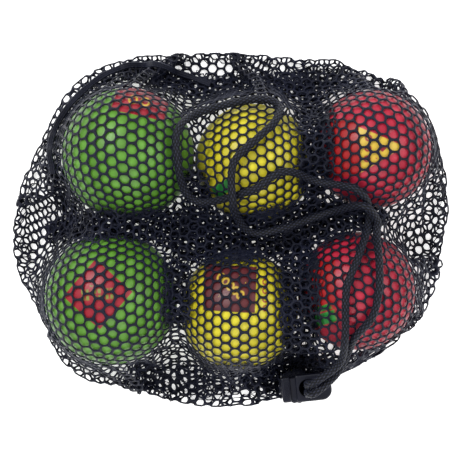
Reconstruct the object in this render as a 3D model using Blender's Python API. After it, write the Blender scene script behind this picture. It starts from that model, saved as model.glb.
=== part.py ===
"""Mesh ball bag lying flat with six balls in it, its mouth drawn shut by a cord and a cord lock.

Lengths are in millimetres and become metres when a mesh is made. The floor is z = 0, +X runs
along the bag's longer side, and the drawn mouth is near the lower right edge, at MOUTH.
"""
import math

import bmesh
import bpy
import numpy as np

METRES_PER_MM = 0.001
GAP = 0.3                        # air left between neighbouring pieces

# The bag lying on the floor: how far its edge is from the middle, one radius every 15 degrees from +X
EDGE_RADII = (124.0, 127.5, 130.0, 124.0, 110.0, 103.0, 101.0, 104.0, 112.0, 117.0, 116.5, 118.5,
              123.0, 118.0, 117.0, 116.0, 105.5, 103.0, 100.0, 100.5, 109.0, 113.5, 116.5, 122.0)
NET_THICKNESS = 0.8
NET_TO_BALL = 1.05               # from a ball's surface to the inside of the net over it
LOOSEST_SLOPE = 1.1              # rise over run of the slack net between two balls
VALLEY_ROUNDING = 2.6
NET_SPOKES = 64
NET_RINGS = 24
EDGE_CROWDING = 1.8              # how much closer together the rings are near the edge
LOWER_NET_THICKNESS = 0.8

# The balls: name, centre, radius, colour
GREEN = (0.10, 0.35, 0.06)
YELLOW = (0.70, 0.62, 0.03)
RED = (0.52, 0.01, 0.05)
BIG_BALL = 36.0
SMALL_BALL = 32.25
BALLS = (
    ("ball_green_1", (-55.1, 41.0), BIG_BALL, GREEN),
    ("ball_green_2", (-64.2, -37.5), BIG_BALL, GREEN),
    ("ball_yellow_1", (13.7, 36.4), SMALL_BALL, YELLOW),
    ("ball_yellow_2", (5.6, -44.0), SMALL_BALL, YELLOW),
    ("ball_red_1", (78.5, 43.9), SMALL_BALL, RED),
    ("ball_red_2", (69.8, -33.5), SMALL_BALL, RED),
)
BALL_REST = LOWER_NET_THICKNESS + GAP

# The drawn mouth, where both runs of the drawcord come up through the lock
CORD_RADIUS = 2.2
MOUTH = (43.0, -86.4)
RUN_SPACING = 2.35               # each run's centre, to one side of the mouth's axis
HEM_RADIUS = 6.4                 # the drawn hem's ring, to the middle of its channel
HEM_TUBE = 3.3
HEM_CHANNEL = 2.55
HEM_HEIGHT = 23.6
HEM_GAP_ANGLE = math.radians(56.0)
MOUTH_DIP = 7.0                  # height of the net round the mouth
MOUTH_DIP_RADIUS = 14.0
MOUTH_DIP_SLOPE = 6.5
NECK_PLEATS = 12
NECK_PLEAT_DEPTH = 0.7
NECK_BOTTOM_RADIUS = 8.2
NECK_TOP_RADIUS = 7.4
NECK_WALL = 1.1
NECK_CLEARANCE = 3.2

# The seam that closes the far end of the bag, a folded tape lying along the upper left edge
SEAM_ROUTE = ((-95.5, 30.0), (-98.0, 46.0), (-93.5, 61.5), (-81.0, 77.0), (-69.0, 87.0),
              (-55.0, 91.5), (-40.0, 91.0), (-25.0, 87.0), (-10.5, 81.5))
SEAM_WIDTH = 4.6
SEAM_THICKNESS = 1.2

# The free loop of drawcord from the lock and back to it, lying on the net; the first and last
# points are over the mouth, and the runs cross twice
LOOP_ROUTE = (
    (43.0, -84.0, 39.2), (43.0, -84.0, 46.8), (49.5, -79.5, 54.0), (59.5, -71.0, 55.0),
    (61.5, -57.0, 64.5), (62.0, -31.0, 69.5), (68.5, -14.5, 65.0), (75.5, 6.5, 50.0),
    (69.0, 20.5, 61.0), (48.0, 25.5, 53.0), (29.0, 30.5, 66.5), (11.5, 20.5, 67.5),
    (-13.5, 14.5, 53.0), (-23.5, 21.0, 56.5), (-27.0, 35.0, 66.5), (-27.0, 52.5, 64.5),
    (-15.5, 63.0, 51.0), (14.5, 70.0, 50.0), (26.5, 66.5, 51.0), (24.5, 57.5, 61.5),
    (15.0, 48.0, 68.5), (2.5, 35.0, 69.0), (2.0, 15.5, 67.5), (5.5, 4.5, 54.0),
    (13.5, -2.0, 46.0), (28.5, 0.5, 45.5), (43.5, 5.5, 42.0), (56.0, 9.5, 44.5),
    (71.5, 12.5, 60.0), (79.5, 4.5, 53.5), (79.0, -2.5, 54.0), (79.5, -17.0, 65.0),
    (79.0, -32.5, 69.0), (75.5, -46.5, 67.5), (67.5, -56.5, 62.5), (64.0, -65.5, 52.0),
    (58.0, -77.5, 49.0), (47.0, -87.5, 50.0), (43.0, -88.8, 46.0), (43.0, -88.8, 39.2))
LOOP_POINTS = 79

# The cord lock
LOCK_TURN = math.radians(6.0)
LOCK_BOTTOM = 27.3
LOCK_HEIGHT = 10.6
LOCK_WIDTH = 14.6
LOCK_LEFT = -6.4                 # from the mouth's axis to the barrel's open end
LOCK_RIGHT = 12.9
LOCK_HOLE = 4.95
CAVITY_WIDTH = 12.5
CAVITY_HEIGHT = 6.6
CAVITY_RIGHT = 11.4
PLUNGER_WIDTH = 11.8
PLUNGER_HEIGHT = 5.9
PLUNGER_RIGHT = 3.9
PLUNGER_SLOT = (-5.9, 2.55)
PLUNGER_SLOT_WIDTH = 9.8
CAP_LEFT = -14.2
CAP_THICKNESS = 4.8
CAP_WIDTH = 13.6
CAP_HEIGHT = 9.8
SPRING_COIL = 2.2
SPRING_WIRE = 0.35
SPRING_TURNS = 4.5

NAVY_NET = (0.010, 0.012, 0.025)
NAVY_TAPE = (0.012, 0.014, 0.030)
CORD_BLACK = (0.008, 0.009, 0.016)
LOCK_NAVY = (0.020, 0.022, 0.040)
STEEL = (0.55, 0.55, 0.56)


# ---------------------------------------------------------------- objects and materials

def make_material(name, colour, roughness, metallic=0.0):
    material = bpy.data.materials.new(name)
    material.use_nodes = True
    shader = material.node_tree.nodes["Principled BSDF"]
    shader.inputs["Base Color"].default_value = (*colour, 1.0)
    shader.inputs["Roughness"].default_value = roughness
    shader.inputs["Metallic"].default_value = metallic
    return material


def add_object(name, bm, colour, roughness, metallic=0.0, place=(0.0, 0.0, 0.0)):
    """Turn a millimetre bmesh into a named object in metres, with its origin at place."""
    bmesh.ops.scale(bm, vec=(METRES_PER_MM,) * 3, verts=bm.verts)
    bmesh.ops.recalc_face_normals(bm, faces=bm.faces)
    mesh = bpy.data.meshes.new(name)
    bm.to_mesh(mesh)
    bm.free()
    mesh.shade_smooth()
    mesh.set_sharp_from_angle(angle=math.radians(35.0))
    obj = bpy.data.objects.new(name, mesh)
    obj.location = [value * METRES_PER_MM for value in place]
    bpy.context.scene.collection.objects.link(obj)
    mesh.materials.append(make_material(name, colour, roughness, metallic))
    return obj


def bridge_rings(bm, rings, close_ends):
    """Skin a list of equal rings of points; close_ends caps the first and last ring."""
    loops = [[bm.verts.new(point) for point in ring] for ring in rings]
    count = len(loops[0])
    for first, second in zip(loops, loops[1:]):
        for i in range(count):
            j = (i + 1) % count
            bm.faces.new((first[i], first[j], second[j], second[i]))
    if close_ends:
        bm.faces.new(loops[0])
        bm.faces.new(loops[-1])
    return loops


# ---------------------------------------------------------------- the bag's outline and drape

def edge_radius(angle):
    """The outline's radius, a smooth closed curve through EDGE_RADII."""
    count = len(EDGE_RADII)
    position = (np.asarray(angle) / math.tau * count) % count
    index = np.floor(position).astype(int)
    t = position - index
    radii = np.array(EDGE_RADII)
    p0, p1, p2, p3 = (radii[(index + shift) % count] for shift in (-1, 0, 1, 2))
    bend = 2.0 * p0 - 5.0 * p1 + 4.0 * p2 - p3
    twist = 3.0 * (p1 - p2) + p3 - p0
    return p1 + 0.5 * t * (p2 - p0 + t * (bend + t * twist))


def outline_middle():
    """Middle of the outline's bounding box, which is moved to the origin."""
    angles = np.linspace(0.0, math.tau, 721)
    points = edge_radius(angles)[:, None] * np.stack((np.cos(angles), np.sin(angles)), 1)
    return (points.min(0) + points.max(0)) / 2.0


MIDDLE = outline_middle()
HEM_MIDDLE = (MOUTH[0] - math.sqrt(HEM_RADIUS ** 2 - RUN_SPACING ** 2), MOUTH[1])


def reach_to_edge(start, directions):
    """Distance from start to the outline along each unit direction, by halving."""
    low = np.zeros(len(directions))
    high = np.full(len(directions), 400.0)
    for _ in range(30):
        half = (low + high) / 2.0
        spot = np.asarray(start) + MIDDLE + directions * half[:, None]
        inside = np.hypot(spot[:, 0], spot[:, 1]) < edge_radius(np.arctan2(spot[:, 1], spot[:, 0]))
        low = np.where(inside, half, low)
        high = np.where(inside, high, half)
    return low


def tent_over_ball(points, centre, radius, rim_height):
    """Height of a net lying on one ball and running straight down from it to the outline."""
    offset = points - np.asarray(centre)
    distance = np.hypot(offset[:, 0], offset[:, 1])
    directions = offset / np.maximum(distance, 1e-6)[:, None]
    reach = reach_to_edge(centre, directions)
    middle_height = BALL_REST + radius
    skin = radius + NET_TO_BALL
    drop = middle_height - rim_height
    tilt = np.arctan2(drop, reach) + np.arcsin(np.minimum(skin / np.hypot(drop, reach), 0.999))
    tilt = np.maximum(tilt, math.atan(LOOSEST_SLOPE))
    touch = skin * np.sin(tilt)
    straight = middle_height + skin * np.cos(tilt) - np.tan(tilt) * (distance - touch)
    on_ball = middle_height + np.sqrt(np.maximum(skin ** 2 - distance ** 2, 0.0))
    return np.where(distance < touch, on_ball, straight)


def net_height(points, rim_height):
    """Height of the inside of the upper net: tents over the balls, drawn down to the mouth."""
    points = np.atleast_2d(points)
    tents = np.array([tent_over_ball(points, centre, radius, rim_height)
                      for _, centre, radius, _ in BALLS])
    highest = tents.max(0)
    tops = highest + VALLEY_ROUNDING * np.log(np.exp((tents - highest) / VALLEY_ROUNDING).sum(0))
    from_mouth = np.hypot(points[:, 0] - HEM_MIDDLE[0], points[:, 1] - HEM_MIDDLE[1])
    funnel = MOUTH_DIP + MOUTH_DIP_SLOPE * np.maximum(from_mouth - MOUTH_DIP_RADIUS, 0.0)
    return np.minimum(tops, funnel)


def net_rings():
    """Plan points of the net: rings that close up towards the outline, where the net is steep."""
    angles = np.linspace(0.0, math.tau, NET_SPOKES, endpoint=False)
    rim = edge_radius(angles)[:, None] * np.stack((np.cos(angles), np.sin(angles)), 1) - MIDDLE
    steps = np.arange(1, NET_RINGS + 1) / NET_RINGS
    return [rim * (1.0 - (1.0 - step) ** EDGE_CROWDING) for step in steps]


def sheet_from_rings(rings, bottoms, tops):
    """A closed sheet on concentric rings; bottoms and tops give its faces' heights at points."""
    bm = bmesh.new()
    layers = []
    for heights in (bottoms, tops):
        centre = bm.verts.new((0.0, 0.0, heights(np.zeros((1, 2)))[0]))
        loops = [[bm.verts.new((x, y, z)) for (x, y), z in zip(ring, heights(ring))] for ring in rings]
        count = len(loops[0])
        for i in range(count):
            bm.faces.new((centre, loops[0][i], loops[0][(i + 1) % count]))
        for inner, outer in zip(loops, loops[1:]):
            for i in range(count):
                j = (i + 1) % count
                bm.faces.new((inner[i], outer[i], outer[j], inner[j]))
        layers.append(loops[-1])
    lower, upper = layers
    for i in range(len(lower)):
        j = (i + 1) % len(lower)
        bm.faces.new((lower[i], lower[j], upper[j], upper[i]))
    return bm


def build_lower_net():
    bm = bmesh.new()
    rim = net_rings()[-1]
    bridge_rings(bm, [[(x, y, z) for x, y in rim] for z in (0.0, LOWER_NET_THICKNESS)], True)
    add_object("net_lower", bm, NAVY_NET, 0.7)


def upper_net_inside(points):
    return net_height(points, LOWER_NET_THICKNESS + GAP)


def upper_net_outside(points):
    """The outside is one thickness away along the slope, so it stands higher where it is steep."""
    step = 0.5
    along_x = upper_net_inside(points + (step, 0.0)) - upper_net_inside(points - (step, 0.0))
    along_y = upper_net_inside(points + (0.0, step)) - upper_net_inside(points - (0.0, step))
    steepness = np.sqrt(1.0 + (along_x / (2 * step)) ** 2 + (along_y / (2 * step)) ** 2)
    return upper_net_inside(points) + NET_THICKNESS * np.minimum(steepness, 3.0)


def build_upper_net():
    bm = sheet_from_rings(net_rings(), upper_net_inside, upper_net_outside)
    add_object("net_upper", bm, NAVY_NET, 0.7)


def build_balls():
    for name, centre, radius, colour in BALLS:
        bm = bmesh.new()
        bmesh.ops.create_uvsphere(bm, u_segments=24, v_segments=12, radius=radius)
        add_object(name, bm, colour, 0.45, place=(*centre, BALL_REST + radius))


# ---------------------------------------------------------------- curves and cords

def smooth_curve(route, per_stretch=12):
    """Points on a Catmull-Rom curve through every point of the route."""
    route = np.array(route, float)
    padded = np.vstack((2 * route[0] - route[1], route, 2 * route[-1] - route[-2]))
    pieces = []
    for p0, p1, p2, p3 in zip(padded, padded[1:], padded[2:], padded[3:]):
        for t in np.arange(per_stretch) / per_stretch:
            bend = 2.0 * p0 - 5.0 * p1 + 4.0 * p2 - p3
            twist = 3.0 * (p1 - p2) + p3 - p0
            pieces.append(p1 + 0.5 * t * (p2 - p0 + t * (bend + t * twist)))
    return np.vstack((pieces, route[-1:]))


def evenly_along(points, count):
    """Count points at equal steps along a line of points."""
    steps = np.linalg.norm(np.diff(points, axis=0), axis=1)
    travelled = np.concatenate(([0.0], np.cumsum(steps)))
    wanted = np.linspace(0.0, travelled[-1], count)
    return np.stack([np.interp(wanted, travelled, points[:, axis]) for axis in range(points.shape[1])], 1)


def add_tube(name, points, radius, bevel_resolution, colour, roughness, metallic=0.0):
    """A round solid along the points, with filled ends."""
    curve = bpy.data.curves.new(name, "CURVE")
    curve.dimensions = "3D"
    curve.bevel_depth = radius * METRES_PER_MM
    curve.bevel_resolution = bevel_resolution
    curve.use_fill_caps = True
    spline = curve.splines.new("POLY")
    spline.points.add(len(points) - 1)
    for slot, point in zip(spline.points, points):
        slot.co = (*(float(value) * METRES_PER_MM for value in point), 1.0)
    curve.materials.append(make_material(name, colour, roughness, metallic))
    obj = bpy.data.objects.new(name, curve)
    bpy.context.scene.collection.objects.link(obj)


def build_seam():
    """A band along SEAM_ROUTE, whose underside follows the net a small gap above it."""
    path = evenly_along(smooth_curve(SEAM_ROUTE), 26)
    along = np.gradient(path, axis=0)
    along /= np.linalg.norm(along, axis=1)[:, None]
    across = np.stack((-along[:, 1], along[:, 0]), 1)
    left = path + across * SEAM_WIDTH / 2
    right = path - across * SEAM_WIDTH / 2
    clear = 2.0 * GAP
    left_height = upper_net_outside(left) + clear
    right_height = upper_net_outside(right) + clear
    crown = upper_net_outside(path) + clear
    lift = np.maximum(crown - (left_height + right_height) / 2, 0.0)
    rings = []
    for i in range(len(path)):
        low_left = (*left[i], left_height[i] + lift[i])
        low_right = (*right[i], right_height[i] + lift[i])
        top_right = (*right[i], low_right[2] + SEAM_THICKNESS)
        top_left = (*left[i], low_left[2] + SEAM_THICKNESS)
        rings.append((low_left, low_right, top_right, top_left))
    bm = bmesh.new()
    bridge_rings(bm, rings, True)
    add_object("end_seam", bm, NAVY_TAPE, 0.8)


# ---------------------------------------------------------------- the drawn mouth

def pleated_ring(radius, depth, height_at, count):
    """A ring round the drawn mouth whose radius waves in and out once for every pleat."""
    angles = np.linspace(0.0, math.tau, count, endpoint=False)
    waved = radius + depth * np.cos(NECK_PLEATS * angles)
    flat = np.stack((HEM_MIDDLE[0] + waved * np.cos(angles), HEM_MIDDLE[1] + waved * np.sin(angles)), 1)
    return [(x, y, height_at((x, y))) for x, y in flat]


def build_neck():
    """The pleated neck: an open funnel that stands on the net and carries the hem."""
    top = HEM_HEIGHT - HEM_TUBE - GAP
    foot = MOUTH_DIP + NET_THICKNESS + NECK_CLEARANCE
    count = NECK_PLEATS * 6
    levels = ((NECK_BOTTOM_RADIUS, foot), (NECK_TOP_RADIUS + 0.3, (foot + top) / 2), (NECK_TOP_RADIUS, top))
    outer = [pleated_ring(radius, NECK_PLEAT_DEPTH, lambda _, z=z: z, count) for radius, z in levels]
    inner = [pleated_ring(radius - NECK_WALL, NECK_PLEAT_DEPTH, lambda _, z=z: z, count)
             for radius, z in reversed(levels)]
    bm = bmesh.new()
    loops = bridge_rings(bm, outer + inner, False)
    for i in range(count):
        j = (i + 1) % count
        bm.faces.new((loops[-1][i], loops[-1][j], loops[0][j], loops[0][i]))
    add_object("gathered_neck", bm, NAVY_NET, 0.8)


def hem_point(angle, out=0.0, up=0.0):
    """A place by its angle round the hem's ring, its offset outwards and its offset upwards."""
    radius = HEM_RADIUS + out
    return (HEM_MIDDLE[0] + radius * math.cos(angle), HEM_MIDDLE[1] + radius * math.sin(angle),
            HEM_HEIGHT + up)


def build_hem():
    """The drawcord channel, a hollow ring that is open where the cord comes out."""
    sides = 12
    rings = []
    angles = np.linspace(HEM_GAP_ANGLE, math.tau - HEM_GAP_ANGLE, 25)
    for radius, sweep in ((HEM_TUBE, angles), (HEM_CHANNEL, angles[::-1])):
        for angle in sweep:
            turns = [math.tau * k / sides for k in range(sides)]
            rings.append([hem_point(angle, radius * math.cos(t), radius * math.sin(t)) for t in turns])
    bm = bmesh.new()
    loops = bridge_rings(bm, rings, False)
    for i in range(sides):
        j = (i + 1) % sides
        bm.faces.new((loops[-1][i], loops[-1][j], loops[0][j], loops[0][i]))
    add_object("mouth_hem", bm, NAVY_TAPE, 0.8)


def build_drawcord():
    """The cord in the hem with its two runs up through the lock, and the free loop above."""
    start = HEM_GAP_ANGLE - math.radians(3.0)
    ring = [hem_point(angle) for angle in np.linspace(start, math.tau - start, 13)]
    x, y = MOUTH
    rise = [(x, y + RUN_SPACING, LOCK_BOTTOM + LOCK_HEIGHT + 0.7), (x, y + RUN_SPACING, LOCK_BOTTOM + 5.0),
            (x, y + RUN_SPACING, LOCK_BOTTOM + 1.2), (x - 0.75, y + RUN_SPACING + 1.1, HEM_HEIGHT + 1.3)]
    fall = [(px, 2 * y - py, pz) for px, py, pz in reversed(rise)]
    inside = evenly_along(smooth_curve(rise + ring + fall), 44)
    add_tube("drawcord_in_hem", inside, CORD_RADIUS, 2, CORD_BLACK, 0.7)
    loop = evenly_along(smooth_curve(LOOP_ROUTE), LOOP_POINTS)
    add_tube("drawcord_loop", loop, CORD_RADIUS, 2, CORD_BLACK, 0.7)


# ---------------------------------------------------------------- the cord lock

def block(low, high):
    """A box between two corners."""
    bm = bmesh.new()
    bmesh.ops.create_cube(bm, size=1.0)
    for vertex in bm.verts:
        vertex.co = [lo + (co + 0.5) * (hi - lo) for co, lo, hi in zip(vertex.co, low, high)]
    return bm


def place_on_lock(obj, level):
    obj.rotation_euler = (0.0, 0.0, LOCK_TURN)
    obj.location = [value * METRES_PER_MM for value in (*MOUTH, level)]


def add_bevel(obj, width, segments=2):
    bevel = obj.modifiers.new("rounded edges", "BEVEL")
    bevel.width = width * METRES_PER_MM
    bevel.segments = segments
    bevel.limit_method = "ANGLE"
    bevel.angle_limit = math.radians(40.0)


def add_boolean(obj, tool, operation):
    tool.hide_render = True
    tool.display_type = "WIRE"
    boolean = obj.modifiers.new(operation.lower(), "BOOLEAN")
    boolean.operation = operation
    boolean.object = tool


def barrel_outline():
    """The barrel in plan: square at the plunger's end and rounded at the other."""
    half = LOCK_WIDTH / 2
    corner = 5.5
    points = [(LOCK_LEFT, half), (LOCK_LEFT, -half)]
    for middle_y, first in ((-half + corner, -90.0), (half - corner, 0.0)):
        for step in range(7):
            angle = math.radians(first + 15.0 * step)
            points.append((LOCK_RIGHT - corner + corner * math.cos(angle), middle_y + corner * math.sin(angle)))
    return points


def build_barrel(level):
    half = LOCK_HEIGHT / 2
    bm = bmesh.new()
    bridge_rings(bm, [[(x, y, z) for x, y in barrel_outline()] for z in (-half, half)], True)
    barrel = add_object("lock_barrel", bm, LOCK_NAVY, 0.35)
    place_on_lock(barrel, level)
    add_bevel(barrel, 0.8)
    hole = bmesh.new()
    bmesh.ops.create_cone(hole, segments=32, radius1=LOCK_HOLE, radius2=LOCK_HOLE,
                          depth=3 * LOCK_HEIGHT, cap_ends=True)
    cavity = block((LOCK_LEFT - 4.0, -CAVITY_WIDTH / 2, -CAVITY_HEIGHT / 2),
                   (CAVITY_RIGHT, CAVITY_WIDTH / 2, CAVITY_HEIGHT / 2))
    for name, cutter in (("cut_cord_hole", hole), ("cut_plunger_cavity", cavity)):
        tool = add_object(name, cutter, LOCK_NAVY, 0.5)
        place_on_lock(tool, level)
        add_boolean(barrel, tool, "DIFFERENCE")


def build_plunger(level):
    half = PLUNGER_HEIGHT / 2
    cap_right = CAP_LEFT + CAP_THICKNESS
    cap = add_object("lock_plunger", block((CAP_LEFT, -CAP_WIDTH / 2, -CAP_HEIGHT / 2),
                                           (cap_right, CAP_WIDTH / 2, CAP_HEIGHT / 2)), LOCK_NAVY, 0.4)
    place_on_lock(cap, level)
    add_bevel(cap, 1.0)
    tongue = add_object("add_tongue", block((cap_right - 2.0, -PLUNGER_WIDTH / 2, -half),
                                            (PLUNGER_RIGHT, PLUNGER_WIDTH / 2, half)), LOCK_NAVY, 0.4)
    slot = add_object("cut_cord_slot", block((PLUNGER_SLOT[0], -PLUNGER_SLOT_WIDTH / 2, -LOCK_HEIGHT),
                                             (PLUNGER_SLOT[1], PLUNGER_SLOT_WIDTH / 2, LOCK_HEIGHT)),
                      LOCK_NAVY, 0.4)
    for tool, operation in ((tongue, "UNION"), (slot, "DIFFERENCE")):
        place_on_lock(tool, level)
        add_boolean(cap, tool, operation)


def build_spring(level):
    """A coil between the plunger's tip and the end of the cavity, along the lock's own axis."""
    first = PLUNGER_RIGHT + SPRING_WIRE + GAP
    last = CAVITY_RIGHT - SPRING_WIRE - GAP
    points = []
    for step in range(int(SPRING_TURNS * 12) + 1):
        part_way = step / (SPRING_TURNS * 12)
        angle = math.tau * SPRING_TURNS * part_way
        along = first + (last - first) * part_way
        side = SPRING_COIL * math.cos(angle)
        points.append((MOUTH[0] + along * math.cos(LOCK_TURN) - side * math.sin(LOCK_TURN),
                       MOUTH[1] + along * math.sin(LOCK_TURN) + side * math.cos(LOCK_TURN),
                       level + SPRING_COIL * math.sin(angle)))
    add_tube("lock_spring", points, SPRING_WIRE, 1, STEEL, 0.3, 1.0)


def build():
    for obj in list(bpy.data.objects):
        bpy.data.objects.remove(obj)
    build_lower_net()
    build_upper_net()
    build_seam()
    build_neck()
    build_hem()
    build_drawcord()
    lock_level = LOCK_BOTTOM + LOCK_HEIGHT / 2
    build_barrel(lock_level)
    build_plunger(lock_level)
    build_spring(lock_level)
    build_balls()


build()
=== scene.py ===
"""The looks of the mesh ball bag: draped net, balls, gathered mouth, cord lock and braided cord.

Places come from the CAD frame. Lengths of the object are in millimetres, and MM turns them into metres.
Materials, the table, the lamps and the camera are in metres.
"""
import math
from functools import partial

import bmesh
import bpy
import numpy as np
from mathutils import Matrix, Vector


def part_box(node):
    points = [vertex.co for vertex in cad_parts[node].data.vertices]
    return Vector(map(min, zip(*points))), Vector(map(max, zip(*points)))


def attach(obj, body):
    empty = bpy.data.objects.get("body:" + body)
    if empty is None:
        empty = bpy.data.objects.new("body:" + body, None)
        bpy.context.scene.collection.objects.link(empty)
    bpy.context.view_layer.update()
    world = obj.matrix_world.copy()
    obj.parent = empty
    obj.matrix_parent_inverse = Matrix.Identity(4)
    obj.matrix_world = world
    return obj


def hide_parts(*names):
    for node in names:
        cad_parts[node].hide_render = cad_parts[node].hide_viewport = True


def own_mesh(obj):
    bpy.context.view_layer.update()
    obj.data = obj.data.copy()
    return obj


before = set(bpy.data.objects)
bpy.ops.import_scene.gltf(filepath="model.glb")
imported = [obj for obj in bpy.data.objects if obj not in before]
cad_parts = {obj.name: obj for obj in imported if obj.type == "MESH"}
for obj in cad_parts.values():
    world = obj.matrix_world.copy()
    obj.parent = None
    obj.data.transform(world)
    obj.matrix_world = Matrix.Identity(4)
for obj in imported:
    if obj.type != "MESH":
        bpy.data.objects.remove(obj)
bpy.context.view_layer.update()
MM = 0.001
UP = np.array((0.0, 0.0, 1.0))

# ---- places read from the frame

BALLS = ("ball_green_1", "ball_green_2", "ball_yellow_1", "ball_yellow_2", "ball_red_1", "ball_red_2")


def middle(node):
    low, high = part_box(node)
    return (low + high) / 2


def half_height(node):
    low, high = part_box(node)
    return (high.z - low.z) / 2


BALL_CENTRES = np.array([middle(name) for name in BALLS]) / MM
BALL_RADII = np.array([half_height(name) for name in BALLS]) / MM
FLOOR_NET_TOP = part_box("net_lower")[1].z / MM
HEM_LOW, HEM_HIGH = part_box("mouth_hem")
HEM_TUBE = (HEM_HIGH.z - HEM_LOW.z) / 2 / MM
HEM_LEFT = HEM_LOW.x / MM
HEM_OUTER = (HEM_HIGH.y - HEM_LOW.y) / 2 / MM
HEM_MIDDLE = np.array((HEM_LEFT + HEM_OUTER, (HEM_LOW.y + HEM_HIGH.y) / 2 / MM))
HEM_BOTTOM = HEM_LOW.z / MM
HEM_HEIGHT = (HEM_LOW.z + HEM_HIGH.z) / 2 / MM
NECK_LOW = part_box("gathered_neck")[0].z / MM
LOCK_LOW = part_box("lock_barrel")[0].z / MM

# ---- the drawcord's route

CORD_DIAMETER = 4.4
# From the lock, out over the net and back to the lock, in millimetres
LOOP_ROUTE = (
    (43, -84, 39.2), (43, -84, 46.8), (49.5, -79.5, 54), (59.5, -71, 55),
    (61.5, -57, 64.5), (62, -31, 69.5), (68.5, -14.5, 65), (75.5, 6.5, 50),
    (69, 20.5, 61), (48, 25.5, 53), (29, 30.5, 66.5), (11.5, 20.5, 67.5),
    (-13.5, 14.5, 53), (-23.5, 21, 56.5), (-27, 35, 66.5), (-27, 52.5, 64.5),
    (-15.5, 63, 51), (14.5, 70, 50), (26.5, 66.5, 51), (24.5, 57.5, 61.5),
    (15, 48, 68.5), (2.5, 35, 69), (2, 15.5, 67.5), (5.5, 4.5, 54),
    (13.5, -2, 46), (28.5, 0.5, 45.5), (43.5, 5.5, 42), (56, 9.5, 44.5),
    (71.5, 12.5, 60), (79.5, 4.5, 53.5), (79, -2.5, 54), (79.5, -17, 65),
    (79, -32.5, 69), (75.5, -46.5, 67.5), (67.5, -56.5, 62.5), (64, -65.5, 52),
    (58, -77.5, 49), (47, -87.5, 50), (43, -88.8, 46), (43, -88.8, 39.2))

MOUTH_AXIS = (LOOP_ROUTE[0][0], (LOOP_ROUTE[0][1] + LOOP_ROUTE[-1][1]) / 2)


def smooth_curve(route, per_stretch=12):
    """Points on a Catmull-Rom curve through every point of the route."""
    route = np.array(route, float)
    padded = np.vstack((2 * route[0] - route[1], route, 2 * route[-1] - route[-2]))
    pieces = []
    for p0, p1, p2, p3 in zip(padded, padded[1:], padded[2:], padded[3:]):
        for t in np.arange(per_stretch) / per_stretch:
            bend = 2.0 * p0 - 5.0 * p1 + 4.0 * p2 - p3
            twist = 3.0 * (p1 - p2) + p3 - p0
            pieces.append(p1 + 0.5 * t * (p2 - p0 + t * (bend + t * twist)))
    return np.vstack((pieces, route[-1:]))


def travelled_to(points):
    """Distance along a line of points, at each of them."""
    return np.concatenate(([0.0], np.cumsum(np.linalg.norm(np.diff(points, axis=0), axis=1))))


def between(wanted, marks, values):
    """Rows of values at the wanted marks."""
    return np.stack([np.interp(wanted, marks, column) for column in values.T], 1)


def evenly_along(points, count):
    """Count points at equal steps along a line of points."""
    travelled = travelled_to(points)
    return between(np.linspace(0.0, travelled[-1], count), travelled, points)


def length_of(points):
    return float(np.linalg.norm(np.diff(points, axis=0), axis=1).sum())


def unit(vectors):
    return vectors / np.linalg.norm(vectors, axis=1, keepdims=True)


def polar(places):
    """Distance from the middle of the bag, and angle round it."""
    return np.hypot(places[:, 0], places[:, 1]), np.arctan2(places[:, 1], places[:, 0])


# ---- the outline on the floor

def floor_outline():
    """Outline radius at every degree, from the CAD's lower net."""
    points = np.array([vertex.co[:2] for vertex in bpy.data.objects["net_lower"].data.vertices]) / MM
    radii, angles = polar(points)
    order = np.argsort(angles)
    return np.interp(np.radians(np.arange(-180, 180)), angles[order], radii[order], period=math.tau)


OUTLINE = floor_outline()


def outline_radius(angle):
    return np.interp(np.degrees(angle), np.arange(-180, 180), OUTLINE, period=360.0)


def keep_inside(places, margin):
    """Draw places in where they are nearer than this to the outline."""
    radius, angle = polar(places)
    places *= np.minimum(1.0, (outline_radius(angle) - margin) / np.maximum(radius, 1.0))[:, None]


# ---- the draped net, by simulation

NET_STEP = 3.0  # between the simulated cloth's points
SLACK = 1.30  # cloth in the bag over the outline's own size
SLACK_ACROSS = 0.10  # more of it across the rows of balls than along them
TURN_UNDER = 9.0  # the edge folds under by this much
MOUTH_ANGLE = math.atan2(HEM_MIDDLE[1], HEM_MIDDLE[0])
MOUTH_SPREAD = math.radians(17.0)
MOUTH_FADE = math.radians(10.0)
NECK_RADIUS = 8.0
TUCKS = 9  # folds round the rim
TUCK_RUN = 1.3
TUCK_WIDTH = 0.09
SKIN = 1.1  # from a ball to the middle of the net on it
NET_FLOOR = 2.2  # middle of the upper net where it lies on the lower one
STEPS = 300
SOLVES = 6
RIM_DRAWN = 0.35  # share of the steps by which the rim is in its place
FREE_FALL = 0.3  # and share without height limits
GRAVITY_STEP = 0.16
DAMPING = 0.96
FRICTION = 0.35
CORD_CLEARANCE = CORD_DIAMETER / 2 + 0.55
SUPPORT_REACH = 3.2  # to each side of the cord, where the net carries it
SUPPORT_GAP = 1.3
MOUTH_SAG = 26.0  # nearer than this to the lock, the cord stands above the net
MAP_CELL = 1.0
MAP_SIZE = int(280.0 / MAP_CELL)
OPEN_SKY = 500.0
NO_SUPPORT = -50.0


def slack(angle):
    return SLACK + SLACK_ACROSS * np.sin(angle) ** 2


def cloth_rim(angle):
    return outline_radius(angle) * slack(angle)


def tuck(angle):
    """World angle and layer of cloth at a cloth angle: the rim's spare length lies in a few folds.

    Between folds the cloth keeps its own length along the rim, and in a fold it doubles back."""
    span = math.tau / TUCKS
    number = np.floor((angle + math.pi) / span)
    part_way = (angle + math.pi) / span - number
    fold = 0.5 + 0.28 * np.sin(number * 2.4 + 0.7)
    off = np.clip((part_way - fold) / TUCK_WIDTH, -1.0, 1.0)
    run = part_way * TUCK_RUN - (TUCK_RUN - 1.0) * (off + 1.0) / 2.0
    layer = np.where(off < 1.0, 0.5 + 0.5 * off, 1.0 - np.minimum(part_way - fold, 1.0))
    return (number + run) * span - math.pi, layer


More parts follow.
